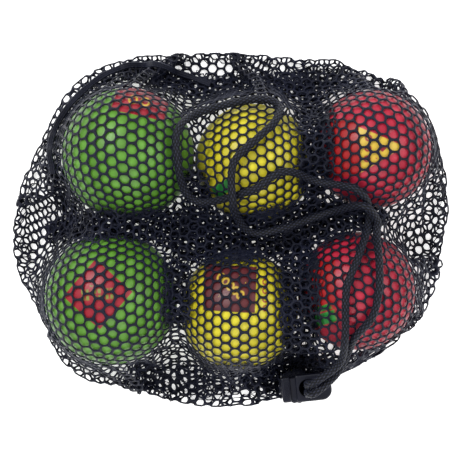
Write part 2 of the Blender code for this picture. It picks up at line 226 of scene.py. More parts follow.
def away_from_mouth(angle):
    """Signed angle from the mouth's direction, from -pi to pi."""
    return (angle - MOUTH_ANGLE + math.pi) % math.tau - math.pi


def rim_targets(u, v):
    """Where the cloth beyond its rim is held: folded under at the edge, gathered at the mouth."""
    cloth_angle = np.arctan2(v, u)
    past = np.hypot(u, v) - cloth_rim(cloth_angle)
    angle, layer = tuck(cloth_angle)
    radius = outline_radius(angle)
    under = np.clip(past / TURN_UNDER, 0.0, 3.0)
    reach = radius - 1.2 - 0.8 * TURN_UNDER * under
    edge = np.stack((reach * np.cos(angle), reach * np.sin(angle),
                     np.where(under > 0.3, FLOOR_NET_TOP + 0.9, NET_FLOOR + 3.0 * layer)), -1)
    aside = away_from_mouth(cloth_angle)
    share = np.clip(aside / MOUTH_SPREAD, -1.0, 1.0)
    round_neck = MOUTH_ANGLE + math.pi - share * math.radians(110.0)
    crimp = 1.0 + 0.12 * np.cos(aside * 80.0)
    neck = np.stack((HEM_MIDDLE[0] + NECK_RADIUS * crimp * np.cos(round_neck),
                     HEM_MIDDLE[1] + NECK_RADIUS * crimp * np.sin(round_neck),
                     HEM_BOTTOM - 1.2 - 0.25 * np.clip(past, 0.0, 12.0)), -1)
    fade = np.clip((np.abs(aside) - MOUTH_SPREAD) / MOUTH_FADE, 0.0, 1.0)[..., None]
    return neck + (edge - neck) * eased(fade)


def height_limits(cord):
    """Least and greatest height of the net on a grid: it carries the cord, and stays under the lock."""
    places = (np.arange(MAP_SIZE) - MAP_SIZE / 2) * MAP_CELL
    x, y = np.meshgrid(places, places, indexing="ij")
    ceiling, support = np.full(x.shape, OPEN_SKY), np.full(x.shape, NO_SUPPORT)
    for point in evenly_along(cord, 900):
        low = np.floor((point[:2] - 4.0) / MAP_CELL + MAP_SIZE / 2).astype(int)
        high = low + int(8.0 / MAP_CELL) + 1
        box = (slice(low[0], high[0]), slice(low[1], high[1]))
        off = (x[box] - point[0]) ** 2 + (y[box] - point[1]) ** 2
        under = point[2] - np.sqrt(np.maximum(CORD_CLEARANCE ** 2 - off, 0.0))
        ceiling[box] = np.where(off < CORD_CLEARANCE ** 2, np.minimum(ceiling[box], under), ceiling[box])
        sag = 1.5 * max(MOUTH_SAG - math.dist(point[:2], MOUTH_AXIS), 0.0)
        carried = point[2] - CORD_CLEARANCE - SUPPORT_GAP - sag
        support[box] = np.where(off < SUPPORT_REACH ** 2, np.maximum(support[box], carried), support[box])
    from_hem = np.hypot(x - HEM_MIDDLE[0], y - HEM_MIDDLE[1])
    ceiling = np.where(from_hem < HEM_OUTER + 1.0, np.minimum(ceiling, HEM_BOTTOM - 1.0), ceiling)
    for node in ("lock_barrel", "lock_plunger"):
        low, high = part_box(node)
        inside = (x > low.x / MM - 1) & (x < high.x / MM + 1) & (y > low.y / MM - 1) & (y < high.y / MM + 1)
        ceiling = np.where(inside, np.minimum(ceiling, low.z / MM - 1.0), ceiling)
    return np.minimum(support, ceiling), ceiling


def first_height(x, y):
    """A low tent over the balls, for the cloth to fall from."""
    tents = [centre[2] + radius + 6.0 - np.maximum(np.hypot(x - centre[0], y - centre[1]) - 12.0, 0.0) * 0.9
             for centre, radius in zip(BALL_CENTRES, BALL_RADII)]
    return np.maximum(np.max(tents, axis=0), 6.0)


def distances(gaps):
    return np.sqrt((gaps * gaps).sum(-1, keepdims=True)) + 1e-9


def eased(share):
    return share * share * (3.0 - 2.0 * share)


def pull(points, weights, first, second, rest, stiffness):
    """Move two sets of points towards their rest distance."""
    gap = points[second] - points[first]
    distance = distances(gap)
    both = weights[first] + weights[second] + 1e-9
    move = gap * (stiffness * (distance - rest) / distance / both)
    points[first] += move * weights[first]
    points[second] -= move * weights[second]


def constraint_sets(shape):
    """Index slices for every constraint: structure, shear and bend, each with rest and stiffness."""
    rows, columns = shape

    def span(length, start, reach, stride):
        """Slices for points start, start + stride, ... and their partners reach further on."""
        count = max((length - reach - start + stride - 1) // stride, 0)
        stop = start + stride * count
        return slice(start, stop, stride), slice(start + reach, stop + reach, stride)

    whole = slice(None)
    sets = []
    for start in (0, 1):
        a, b = span(rows, start, 1, 2)
        sets.append(((a, whole), (b, whole), NET_STEP, 1.0))
        sets.append(((a, slice(0, -1)), (b, slice(1, None)), NET_STEP * math.sqrt(2), 0.25))
        sets.append(((a, slice(1, None)), (b, slice(0, -1)), NET_STEP * math.sqrt(2), 0.25))
        a, b = span(columns, start, 1, 2)
        sets.append(((whole, a), (whole, b), NET_STEP, 1.0))
    for start in range(4):
        a, b = span(rows, start, 2, 4)
        sets.append(((a, whole), (b, whole), 2 * NET_STEP, 0.12))
        a, b = span(columns, start, 2, 4)
        sets.append(((whole, a), (whole, b), 2 * NET_STEP, 0.12))
    return sets


def keep_clear(points, before, support, ceiling):
    """Push points out of the balls and the floor, with friction, and keep them between the height limits."""
    for centre, radius in zip(BALL_CENTRES, BALL_RADII):
        off = points - centre
        distance = distances(off)
        pushed = centre + off * ((radius + SKIN) / distance)
        slid = before + (pushed - before) * (1.0 - FRICTION)
        again = slid - centre
        slid = centre + again * ((radius + SKIN) / distances(again))
        points[:] = np.where(distance < radius + SKIN, slid, points)
    points[..., 2] = np.maximum(points[..., 2], FLOOR_NET_TOP + 0.7)
    cells = np.clip((points[..., :2] / MAP_CELL + MAP_SIZE / 2).astype(int), 0, MAP_SIZE - 1)
    cells = cells[..., 0], cells[..., 1]
    points[..., 2] = np.minimum(np.maximum(points[..., 2], support[cells]), ceiling[cells])


def drape_net(cord):
    """Fabric coordinates and simulated places of the upper net's points."""
    half = math.ceil((OUTLINE.max() * SLACK + TURN_UNDER + 9.0) / NET_STEP) * NET_STEP
    places = np.arange(-half, half + NET_STEP / 2, NET_STEP)
    u, v = np.meshgrid(places, places, indexing="ij")
    angle = np.arctan2(v, u)
    held = (np.hypot(u, v) > cloth_rim(angle) - 0.2)[..., None]
    targets = rim_targets(u, v)
    x, y = u / slack(angle), v / slack(angle)
    ripple = 1.5 * np.sin(0.11 * u + 0.07 * v) + 1.2 * np.sin(0.05 * u - 0.13 * v + 1.0)
    points = np.stack((x, y, first_height(x, y) + 2.0 + ripple), -1)
    weights = np.where(held, 0.0, 1.0)
    start = points.copy()
    support, ceiling = height_limits(cord)
    no_limits = np.full_like(support, NO_SUPPORT), np.full_like(ceiling, OPEN_SKY)
    sets = constraint_sets(points.shape[:2])
    before = points.copy()
    for step in range(STEPS):
        drive = eased(min(step / (RIM_DRAWN * STEPS), 1.0))
        velocity = (points - before) * DAMPING
        before = points.copy()
        points = points + velocity * weights
        points[..., 2] -= GRAVITY_STEP * weights[..., 0]
        driven = start + (targets - start) * drive
        points = np.where(held, driven, points)
        limits = no_limits if step < FREE_FALL * STEPS else (support, ceiling)
        for _ in range(SOLVES):
            for first, second, rest, stiffness in sets:
                pull(points, weights, first, second, rest, stiffness)
            keep_clear(points, before, *limits)
            points = np.where(held, driven, points)
    return half, points


# ---- mesh helpers

def new_object(name, data):
    thing = bpy.data.objects.new(name, data)
    bpy.context.collection.objects.link(thing)
    return thing


def add_piece(name, vertices, faces, material, body, smooth=True):
    """A mesh piece from points in millimetres, on a CAD body."""
    mesh = bpy.data.meshes.new(name)
    mesh.from_pydata((np.asarray(vertices) * MM).tolist(), [], faces)
    mesh.validate()
    mesh.polygons.foreach_set("use_smooth", [smooth] * len(mesh.polygons))
    mesh.materials.append(material)
    piece = new_object(name, mesh)
    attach(piece, body)
    return piece


def tube_faces(rings, sides, start=0, ring=False):
    """Quads between rings of points that are stored one after another. A ring of rings closes on itself."""
    faces = []
    for i in range(rings if ring else rings - 1):
        here, there = start + i * sides, start + (i + 1) % rings * sides
        for j in range(sides):
            k = (j + 1) % sides
            faces.append((here + j, there + j, there + k, here + k))
    return faces


def end_faces(rings, sides, start=0):
    last = start + (rings - 1) * sides
    return [tuple(range(start, start + sides)), tuple(range(last, last + sides))[::-1]]


def turned(faces):
    return [face[::-1] for face in faces]


def rings_round(path, radius, sides):
    """Rings of points round a path."""
    _, first, second = frames_along(path)
    turn = np.arange(sides) * math.tau / sides
    return path[:, None] + radius * (np.cos(turn)[None, :, None] * first[:, None]
                                     + np.sin(turn)[None, :, None] * second[:, None])


# ---- materials

def new_material(name):
    material = bpy.data.materials.new(name)
    material.use_nodes = True
    return material, material.node_tree, material.node_tree.nodes["Principled BSDF"]


def socket(tree, value, target):
    """Feed a number or another node's output into an input."""
    if isinstance(value, bpy.types.NodeSocket):
        tree.links.new(value, target)
    else:
        target.default_value = value


def set_shader(shader, settings):
    for name, value in settings.items():
        socket(shader.id_data, value, shader.inputs[name])


def maths(tree, operation, *values):
    node = tree.nodes.new("ShaderNodeMath")
    node.operation = operation
    for target, value in zip(node.inputs, values):
        socket(tree, value, target)
    return node.outputs[0]


def mix_colour(tree, share, first, second):
    node = tree.nodes.new("ShaderNodeMix")
    node.data_type = "RGBA"
    socket(tree, share, node.inputs[0])
    socket(tree, first, node.inputs[6])
    socket(tree, second, node.inputs[7])
    return node.outputs[2]


def noise(tree, place, scale, detail=2.0, rough=0.5):
    node = tree.nodes.new("ShaderNodeTexNoise")
    tree.links.new(place, node.inputs["Vector"])
    node.inputs["Scale"].default_value = scale
    node.inputs["Detail"].default_value = detail
    node.inputs["Roughness"].default_value = rough
    return node.outputs["Fac"]


def ramp(tree, value, low, high, low_out=0.0, high_out=1.0):
    node = tree.nodes.new("ShaderNodeMapRange")
    node.interpolation_type = "SMOOTHSTEP"
    socket(tree, value, node.inputs[0])
    for index, number in zip(range(1, 5), (low, high, low_out, high_out)):
        node.inputs[index].default_value = number
    return node.outputs[0]


def bump(tree, shader, height, distance, strength=1.0):
    node = tree.nodes.new("ShaderNodeBump")
    node.inputs["Strength"].default_value = strength
    node.inputs["Distance"].default_value = distance
    tree.links.new(height, node.inputs["Height"])
    tree.links.new(node.outputs["Normal"], shader.inputs["Normal"])


def object_place(tree):
    return tree.nodes.new("ShaderNodeTexCoord").outputs["Object"]


def yarn_material(name, dark, light, fibre_scale, rough, sheen):
    """Black polyester yarn: fine fibres, a little uneven in colour, with a bluish sheen."""
    material, tree, shader = new_material(name)
    place = object_place(tree)
    patches = noise(tree, place, 45.0, 3.0)
    fibres = noise(tree, place, fibre_scale, 2.0, 0.7)
    tone = maths(tree, "MULTIPLY_ADD", fibres, 0.55, maths(tree, "MULTIPLY", patches, 0.45))
    set_shader(shader, {
        "Base Color": mix_colour(tree, ramp(tree, tone, 0.35, 0.65), dark, light),
        "Roughness": ramp(tree, fibres, 0.3, 0.7, rough - 0.09, rough + 0.09),
        "Specular IOR Level": 0.16, "Sheen Weight": sheen, "Sheen Roughness": 0.42,
        "Sheen Tint": (0.42, 0.50, 0.80, 1.0)})
    bump(tree, shader, fibres, 0.00018, 0.8)
    return material


NET_YARN = yarn_material("net_yarn", (0.0018, 0.0023, 0.0065, 1), (0.0062, 0.0080, 0.021, 1),
                         5200.0, 0.50, 0.04)
TAPE_YARN = yarn_material("tape_yarn", (0.0022, 0.0028, 0.0065, 1), (0.0070, 0.0085, 0.020, 1),
                          2600.0, 0.60, 0.04)
THREAD = yarn_material("sewing_thread", (0.005, 0.006, 0.014, 1), (0.014, 0.017, 0.034, 1),
                       5200.0, 0.45, 0.05)


def braid_material():
    """Cord yarn with a painted highlight on the strands' tops and painted shade in the grooves between them.
    """
    material = yarn_material("cord_yarn", (0.0020, 0.0024, 0.0060, 1), (0.0100, 0.0120, 0.0230, 1),
                             6500.0, 0.44, 0.04)
    tree = material.node_tree
    colour = tree.nodes["Principled BSDF"].inputs["Base Color"]
    strand = tree.nodes.new("ShaderNodeAttribute")
    strand.attribute_name = "strand"
    # painted shade in the grooves and painted highlight on the strands' tops, from the strands' heights
    crest_highlight_share = ramp(tree, strand.outputs["Fac"], 0.60, 1.0)
    lit = mix_colour(tree, 0.75, colour.links[0].from_socket, (0.026, 0.030, 0.054, 1))
    tree.links.new(mix_colour(tree, crest_highlight_share, (0.0008, 0.0010, 0.0024, 1), lit), colour)
    return material


def moulded_plastic():
    """Navy plastic of the cord lock: satin, with a fine spark texture and a few rubbed spots."""
    material, tree, shader = new_material("lock_plastic")
    place = object_place(tree)
    grain = noise(tree, place, 2600.0, 2.0, 0.6)
    wear = ramp(tree, noise(tree, place, 260.0, 4.0, 0.65), 0.55, 0.75)
    colour = mix_colour(tree, wear, (0.0040, 0.0048, 0.0115, 1), (0.0095, 0.0115, 0.022, 1))
    set_shader(shader, {"Base Color": colour, "Roughness": ramp(tree, grain, 0.3, 0.7, 0.30, 0.42),
                        "Specular IOR Level": 0.22})
    bump(tree, shader, grain, 0.00006, 0.5)
    return material


CORD_YARN = braid_material()


def spring_steel():
    material, tree, shader = new_material("spring_steel")
    drawn = noise(tree, object_place(tree), 3000.0, 3.0, 0.7)
    set_shader(shader, {
        "Roughness": ramp(tree, drawn, 0.3, 0.7, 0.22, 0.38),
        "Base Color": mix_colour(tree, drawn, (0.50, 0.50, 0.52, 1), (0.66, 0.66, 0.68, 1)), "Metallic": 1.0})
    return material


# ---- the net

CELL = 5.6  # from one hole of the net to the next
CELL_CORNER = CELL / math.sqrt(3)
COLUMN_STEP = CELL * math.sqrt(3) / 2
HOLE = 2.31
HOLE_CORNER = 2.44  # the holes are a little fuller towards the strands' joints
RIDGE = 0.48  # half the yarn's thickness, between two holes
RIM = 0.22  # and at a hole's rim
LOWER_THICKNESS = 0.7  # of the lower net, over the upper one's
BUNCH_THICKNESS = 0.85


def hexagon_net(keep):
    """Cloth coordinates, lifts and faces of a net that has walls in its holes and at its edge."""
    reach = 40
    centres = np.array([(i * COLUMN_STEP, (j + 0.5 * (i % 2)) * CELL)
                        for i in range(-reach, reach + 1) for j in range(-reach, reach + 1)])
    centres = centres[keep(centres[:, 0], centres[:, 1])]
    sixths = np.radians(np.arange(6) * 60.0)
    twelfths = np.radians(np.arange(12) * 30.0)
    corners = centres[:, None] + CELL_CORNER * np.stack((np.cos(sixths), np.sin(sixths)), -1)
    hole_radius = np.where(np.arange(12) % 2, HOLE, HOLE_CORNER)[:, None]
    holes = centres[:, None] + hole_radius * np.stack((np.cos(twelfths), np.sin(twelfths)), -1)
    flat_corners = corners.reshape(-1, 2)
    key = np.round(flat_corners * 20.0).astype(int)
    _, first, corner_index = np.unique(key, axis=0, return_index=True, return_inverse=True)
    corner_index = corner_index.reshape(-1, 6)
    shared = flat_corners[first]
    count = len(shared)
    hole_index = count + np.arange(len(centres) * 12).reshape(-1, 12)
    places = np.vstack((shared, holes.reshape(-1, 2)))
    total = len(places)
    lifts = np.concatenate((np.full(count, RIDGE), np.full(total - count, RIM)))
    faces = []
    for k in range(6):
        near, far = corner_index[:, k], corner_index[:, (k + 1) % 6]
        h0, h1, h2 = (hole_index[:, (2 * k + step) % 12] for step in range(3))
        for a, b, c in ((h0, near, h1), (near, far, h1), (far, h2, h1)):
            faces.append(np.stack((a, b, c), -1))
            faces.append(np.stack((a, c, b), -1) + total)
    walls = []
    for m in range(12):
        a, b = hole_index[:, m], hole_index[:, (m + 1) % 12]
        walls.append(np.stack((a, b, b + total, a + total), -1))
    edges = np.concatenate([np.stack((corner_index[:, k], corner_index[:, (k + 1) % 6]), -1)
                            for k in range(6)])
    _, where, uses = np.unique(np.sort(edges, axis=1), axis=0, return_index=True, return_counts=True)
    rim = edges[where[uses == 1]]
    walls.append(np.stack((rim[:, 1], rim[:, 0], rim[:, 0] + total, rim[:, 1] + total), -1))
    return places, lifts, np.concatenate(faces).tolist() + np.concatenate(walls).tolist()


def both_faces(spot, level, lift):
    return np.vstack((np.column_stack((spot, level + lift)), np.column_stack((spot, level - lift))))


def cubic_weights(t):
    """Catmull-Rom weights of four neighbours, and their slopes."""
    value = np.stack((-t + 2 * t ** 2 - t ** 3, 2 - 5 * t ** 2 + 3 * t ** 3,
                      t + 4 * t ** 2 - 3 * t ** 3, -t ** 2 + t ** 3), -1) / 2
    slope = np.stack((-1 + 4 * t - 3 * t ** 2, -10 * t + 9 * t ** 2,
                      1 + 8 * t - 9 * t ** 2, -2 * t + 3 * t ** 2), -1) / 2
    return value, slope


def on_cloth(cloth, half, places):
    """Places and unit normals on the simulated cloth at cloth coordinates."""
    at = (places + half) / NET_STEP
    cell = np.clip(np.floor(at).astype(int), 1, np.array(cloth.shape[:2]) - 3)
    (u_value, u_slope), (v_value, v_slope) = (cubic_weights(at[:, axis] - cell[:, axis]) for axis in (0, 1))
    point, along, across = (np.zeros((len(places), 3)) for _ in range(3))
    for i in range(4):
        for j in range(4):
            node = cloth[cell[:, 0] + i - 1, cell[:, 1] + j - 1]
            point += node * (u_value[:, i] * v_value[:, j])[:, None]
            along += node * (u_slope[:, i] * v_value[:, j])[:, None]
            across += node * (u_value[:, i] * v_slope[:, j])[:, None]
    normal = np.cross(along, across)
    return point, normal / (np.linalg.norm(normal, axis=1, keepdims=True) + 1e-9)


def build_upper_net(half, cloth):
    """The mesh cloth over the balls, from the simulated cloth."""
    def in_cloth(u, v):
        return np.hypot(u, v) < cloth_rim(np.arctan2(v, u)) + 0.8 * TURN_UNDER

    places, lifts, faces = hexagon_net(in_cloth)
    point, normal = on_cloth(cloth, half, places)
    vertices = np.vstack((point + normal * lifts[:, None], point - normal * lifts[:, None]))
    vertices[:, 2] = np.maximum(vertices[:, 2], FLOOR_NET_TOP + 0.1)
    net = add_piece("net_over_balls", vertices, faces, NET_YARN, "bag")
    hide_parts("net_upper")


LOWER_MARGIN = 3.5  # from the outline in to the lower net's edge
MOUTH_RISE = 26.0  # the lower net leaves the floor this far in from the mouth's edge


def build_lower_net():
    """The mesh cloth under the balls, flat on the floor."""
    def in_outline(u, v):
        return np.hypot(u, v) < outline_radius(np.arctan2(v, u)) - 4.5

    places, lifts, faces = hexagon_net(in_outline)
    x, y = places[:, 0], places[:, 1]
    swayed = np.stack((x + 1.6 * np.sin(y / 38.0 + 0.6), y + 1.8 * np.sin(x / 45.0 + 1.1)), -1)
    keep_inside(swayed, LOWER_MARGIN)
    middle_height = FLOOR_NET_TOP / 2 + 0.05
    radius, angle = polar(swayed)
    aside = np.clip(1.25 - np.abs(away_from_mouth(angle)) / MOUTH_SPREAD, 0.0, 1.0)
    inward = outline_radius(angle) - radius
    rise = np.clip((MOUTH_RISE - inward) / MOUTH_RISE, 0.0, 1.0) * aside * aside * (3.0 - 2.0 * aside)
    off = swayed - HEM_MIDDLE
    closer = 0.55 * NECK_RADIUS / np.maximum(np.linalg.norm(off, axis=1), NECK_RADIUS)
    near = HEM_MIDDLE + off * closer[:, None]
    drawn = swayed + (near - swayed) * np.minimum(rise * 1.2, 1.0)[:, None]
    level = middle_height + (HEM_BOTTOM - 3.0 - middle_height) * rise ** 1.5
    vertices = both_faces(drawn, level, lifts * LOWER_THICKNESS)
    net = add_piece("net_under_balls", vertices, faces, NET_YARN, "bag")
    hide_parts("net_lower")


# ---- braided cord

BRAID_SIDES = 56
BRAID_STEP = 0.50  # along the cord, between rings of points
BRAID_STRANDS = 7  # in each direction, counted round the cord
BRAID_LAY = 3.4  # along the cord, from one strand to the next
BRAID_DEPTH = 0.70


def frames_along(path):
    """Unit tangent and two unit normals at every point, without twist."""
    tangent = unit(np.gradient(path, axis=0))
    normal = np.cross(tangent[0], (0.0, 0.0, 1.0) if abs(tangent[0][2]) < 0.9 else (1.0, 0.0, 0.0))
    normals = []
    for direction in tangent:
        normal = normal - direction * np.dot(normal, direction)
        normal = normal / np.linalg.norm(normal)
        normals.append(normal)
    normals = np.array(normals)
    return tangent, normals, np.cross(tangent, normals)


def braid_height(turn, along):
    """How far the strands of the braid stand up, from 0 to 1, by turn round and distance along."""
    right = turn * BRAID_STRANDS + along / BRAID_LAY
    left = turn * BRAID_STRANDS - along / BRAID_LAY
    over = np.where(np.floor(right) % 2 < 1, 1.0, -1.0) * np.sin(math.pi * left)
    under = np.where(np.floor(left) % 2 < 1, 1.0, -1.0) * np.sin(math.pi * right)
    first = np.abs(np.sin(math.pi * right)) ** 0.7 * (0.6 + 0.4 * over)
    second = np.abs(np.sin(math.pi * left)) ** 0.7 * (0.6 - 0.4 * under)
    return np.maximum(first, second)


def braided_cord(name, route):
    """A tube along the route with the strands of a braid on it."""
    length = length_of(route)
    count = int(length / BRAID_STEP) + 1
    path = evenly_along(route, count)
    _, normal, binormal = frames_along(path)
    turn = np.arange(BRAID_SIDES) / BRAID_SIDES
    along = np.linspace(0.0, length, count)[:, None]
    stands = braid_height(turn[None], along)
    radius = CORD_DIAMETER / 2 + 0.02 - BRAID_DEPTH * (1.0 - stands)
    angle = turn * math.tau
    points = (path[:, None] + radius[..., None] * (np.cos(angle)[None, :, None] * normal[:, None]
                                                   + np.sin(angle)[None, :, None] * binormal[:, None]))
    vertices = np.vstack((points.reshape(-1, 3), path[:1], path[-1:]))
    faces = tube_faces(count, BRAID_SIDES)
    first, last = count * BRAID_SIDES, count * BRAID_SIDES + 1
    for j in range(BRAID_SIDES):
        k = (j + 1) % BRAID_SIDES
        faces.append((j, k, first))
        faces.append(((count - 1) * BRAID_SIDES + k, (count - 1) * BRAID_SIDES + j, last))
    cord = add_piece(name, vertices, turned(faces), CORD_YARN, "bag")
    # the strands' heights, kept for the painted groove shade and the painted highlight on their tops
    painted_light_heights = cord.data.attributes.new("strand", "FLOAT", "POINT")
    painted_light_heights.data.foreach_set("value", np.concatenate((stands.ravel(), (0.0, 0.0))))
    return cord, path, length


def hem_route():
    """The drawcord's way up out of the hem, round it, and back up, in millimetres."""
    run = (LOOP_ROUTE[0][1] - LOOP_ROUTE[-1][1]) / 2
    x, y = MOUTH_AXIS
    ring_radius = HEM_OUTER - HEM_TUBE
    start = math.radians(53.0)
    ring = [(HEM_MIDDLE[0] + ring_radius * math.cos(angle), HEM_MIDDLE[1] + ring_radius * math.sin(angle),
             HEM_HEIGHT) for angle in np.linspace(start, math.tau - start, 13)]
    rise = [(x, y + run, LOCK_LOW + 11.3), (x, y + run, LOCK_LOW + 5.0), (x, y + run, LOCK_LOW + 1.2),
            (x - 0.75, y + run + 1.1, HEM_HEIGHT + 1.3)]
    fall = [(px, 2 * y - py, pz) for px, py, pz in reversed(rise)]
    return rise + ring + fall


def build_cords():
    loop, path, length = braided_cord("drawcord_free_loop", smooth_curve(LOOP_ROUTE, 24))
    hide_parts("drawcord_loop")
    hidden, _, _ = braided_cord("drawcord_through_hem", smooth_curve(hem_route(), 24))
    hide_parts("drawcord_in_hem")


# ---- neck, hem and seam

def build_neck():
    """The net drawn together: deep pleats from the spread cloth up into the hem."""
    count, rows = 240, 26
    angle = np.arange(count) * math.tau / count
    share = np.linspace(0.0, 1.0, rows)[:, None]
    pleats = np.cos(angle * 15 + 0.8 * np.sin(angle * 2.0 + 1.0)) + 0.35 * np.cos(angle * 31 + 0.9)
    spread = (1.0 - share) ** 2
    radius = (HEM_OUTER - 2.6 + 0.8 * spread) + pleats * (0.45 + 0.3 * spread) * (1.0 - 0.35 * share)
    bottom = NECK_LOW + 0.2 * pleats
    height = bottom + (HEM_BOTTOM + 1.4 - bottom) * share ** 0.8
    outer = np.stack((HEM_MIDDLE[0] + radius * np.cos(angle), HEM_MIDDLE[1] + radius * np.sin(angle),
                      np.broadcast_to(height, radius.shape)), -1)
    inner = outer.copy()
    inner[..., 0] -= 0.9 * np.cos(angle)
    inner[..., 1] -= 0.9 * np.sin(angle)
    vertices = np.concatenate((outer, inner[::-1])).reshape(-1, 3)
    faces = turned(tube_faces(2 * rows, count, ring=True))
    neck = add_piece("neck_gathers", vertices, faces, TAPE_YARN, "bag")
    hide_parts("gathered_neck")


def build_hem():
    """The drawcord's channel at the mouth, puckered by the cord."""
    gap = math.radians(56.0)
    rings, sides = 150, 20
    ring_radius = HEM_OUTER - HEM_TUBE
    sweep = np.linspace(gap, math.tau - gap, rings)
    turn = np.arange(sides) * math.tau / sides

    def shell(radius, pucker):
        tube = radius - pucker * (0.5 + 0.5 * np.cos(sweep * 17 + 0.7 * np.sin(sweep * 3))) ** 1.5
        tube = tube[:, None] * (1.0 + 0.03 * np.cos(turn * 3 + sweep[:, None] * 5))
        out = ring_radius + tube * np.cos(turn)
        return np.stack((HEM_MIDDLE[0] + out * np.cos(sweep)[:, None],
                         HEM_MIDDLE[1] + out * np.sin(sweep)[:, None], HEM_HEIGHT + tube * np.sin(turn)), -1)

    outer = shell(HEM_TUBE, 0.42)
    inner = shell(HEM_TUBE - 0.72, 0.3)[::-1]
    vertices = np.concatenate((outer, inner)).reshape(-1, 3)
    faces = turned(tube_faces(2 * rings, sides, ring=True))
    hem = add_piece("mouth_hem_channel", vertices, faces, TAPE_YARN, "bag")
    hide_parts("mouth_hem")


STITCH_STEP = 2.3
STITCH_LENGTH = 1.6
STITCH_THICKNESS = 0.19


def stitch_row(name, line):
    """Short threads lying along a line, each dipping into the cloth at its ends."""
    travelled = travelled_to(line)
    vertices, faces = [], []
    steps, sides = 7, 6
    for number in range(int(length_of(line) / STITCH_STEP)):
        places = (number + 0.5) * STITCH_STEP + np.linspace(-STITCH_LENGTH / 2, STITCH_LENGTH / 2, steps)
        arch = np.cos(np.linspace(-1.0, 1.0, steps) * math.pi / 2)[:, None]
        path = between(places, travelled, line) + UP * (STITCH_THICKNESS * (1.5 * arch - 0.6))
        width = STITCH_THICKNESS * (0.55 + 0.45 * arch)
        start = len(vertices)
        vertices.extend(rings_round(path, width[..., None], sides).reshape(-1, 3).tolist())
        faces.extend(turned(tube_faces(steps, sides, start) + end_faces(steps, sides, start)))
    add_piece(name, np.array(vertices), faces, THREAD, "bag")


SEAM_ROUTE = ((-95.5, 30), (-98, 46), (-93.5, 61.5), (-81, 77), (-69, 87),
              (-55, 91.5), (-40, 91), (-25, 87), (-10.5, 81.5))
SEAM_WIDTH = 3.4


def map_cells(places):
    cells = np.clip(np.round(places / MAP_CELL + MAP_SIZE / 2).astype(int), 0, MAP_SIZE - 1)
    return cells[..., 0], cells[..., 1]


def net_top_map(half, cloth):
    """Height of the draped cloth's top on a grid of places, for what lies on it."""
    places = np.arange(-half + 9, half - 9, 0.75)
    fine = np.stack(np.meshgrid(places, places, indexing="ij"), -1).reshape(-1, 2)
    radius, angle = polar(fine)
    point, _ = on_cloth(cloth, half, fine[radius < cloth_rim(angle) + 2.0])
    top = np.full((MAP_SIZE, MAP_SIZE), NO_SUPPORT)
    np.maximum.at(top, map_cells(point[:, :2]), point[:, 2])
    for _ in range(3):
        around = np.stack([np.roll(top, shift, axis) for axis in (0, 1) for shift in (-1, 1)])
        top = np.where(top == NO_SUPPORT, around.max(0), top)
    return np.maximum(top, FLOOR_NET_TOP + 1.5)


def smoothed(values, passes):
    for _ in range(passes):
        padded = np.concatenate((values[:1], values, values[-1:]))
        values = (padded[:-2] + 2 * padded[1:-1] + padded[2:]) / 4
    return values


def build_seam(top):
    """The bound seam along the side of the bag: a folded tape with stitches near both edges."""
    flat_path = evenly_along(smooth_curve(SEAM_ROUTE, 24), 260)
    tangent = unit(np.gradient(flat_path, axis=0))
    across = np.stack((-tangent[:, 1], tangent[:, 0]), 1)
    columns = np.linspace(-1.0, 1.0, 13)
    wave = 0.5 * np.sin(np.linspace(0, 31, len(flat_path)))
    width = SEAM_WIDTH / 2 * (1.0 + 0.06 * np.sin(np.linspace(0, 53, len(flat_path))))
    places = flat_path[:, None] + across[:, None] * (columns[None] * width[:, None])[..., None]
    base = top[map_cells(places)]
    base = smoothed(np.maximum(base.max(1), smoothed(base.max(1), 30)), 14)[:, None] + 0.75
    base = np.broadcast_to(base, places.shape[:2]) + wave[:, None] * columns[None] * 0.5
    puffed = 0.5 * (1.0 - columns[None] ** 4) + 0.12 * np.cos(columns[None] * 9.5)
    ripple = 0.12 * np.sin(np.arange(len(flat_path)) * 1.9)[:, None]
    upper = base + 0.2 + puffed + ripple * (np.abs(columns)[None] < 0.9)
    outer = np.concatenate((places, upper[..., None]), -1)
    inner = np.concatenate((places, base[..., None]), -1)[:, ::-1]
    ring = np.concatenate((outer, inner), 1)
    around = ring.shape[1]
    vertices = ring.reshape(-1, 3)
    faces = turned(tube_faces(len(flat_path), around)) + end_faces(len(flat_path), around)
    seam = add_piece("side_seam_tape", vertices, faces, TAPE_YARN, "bag")
    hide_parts("end_seam")
    for side, column in (("left", 2), ("right", 10)):
        stitch_row(f"side_seam_stitches_{side}", outer[:, column])


# ---- bunched net

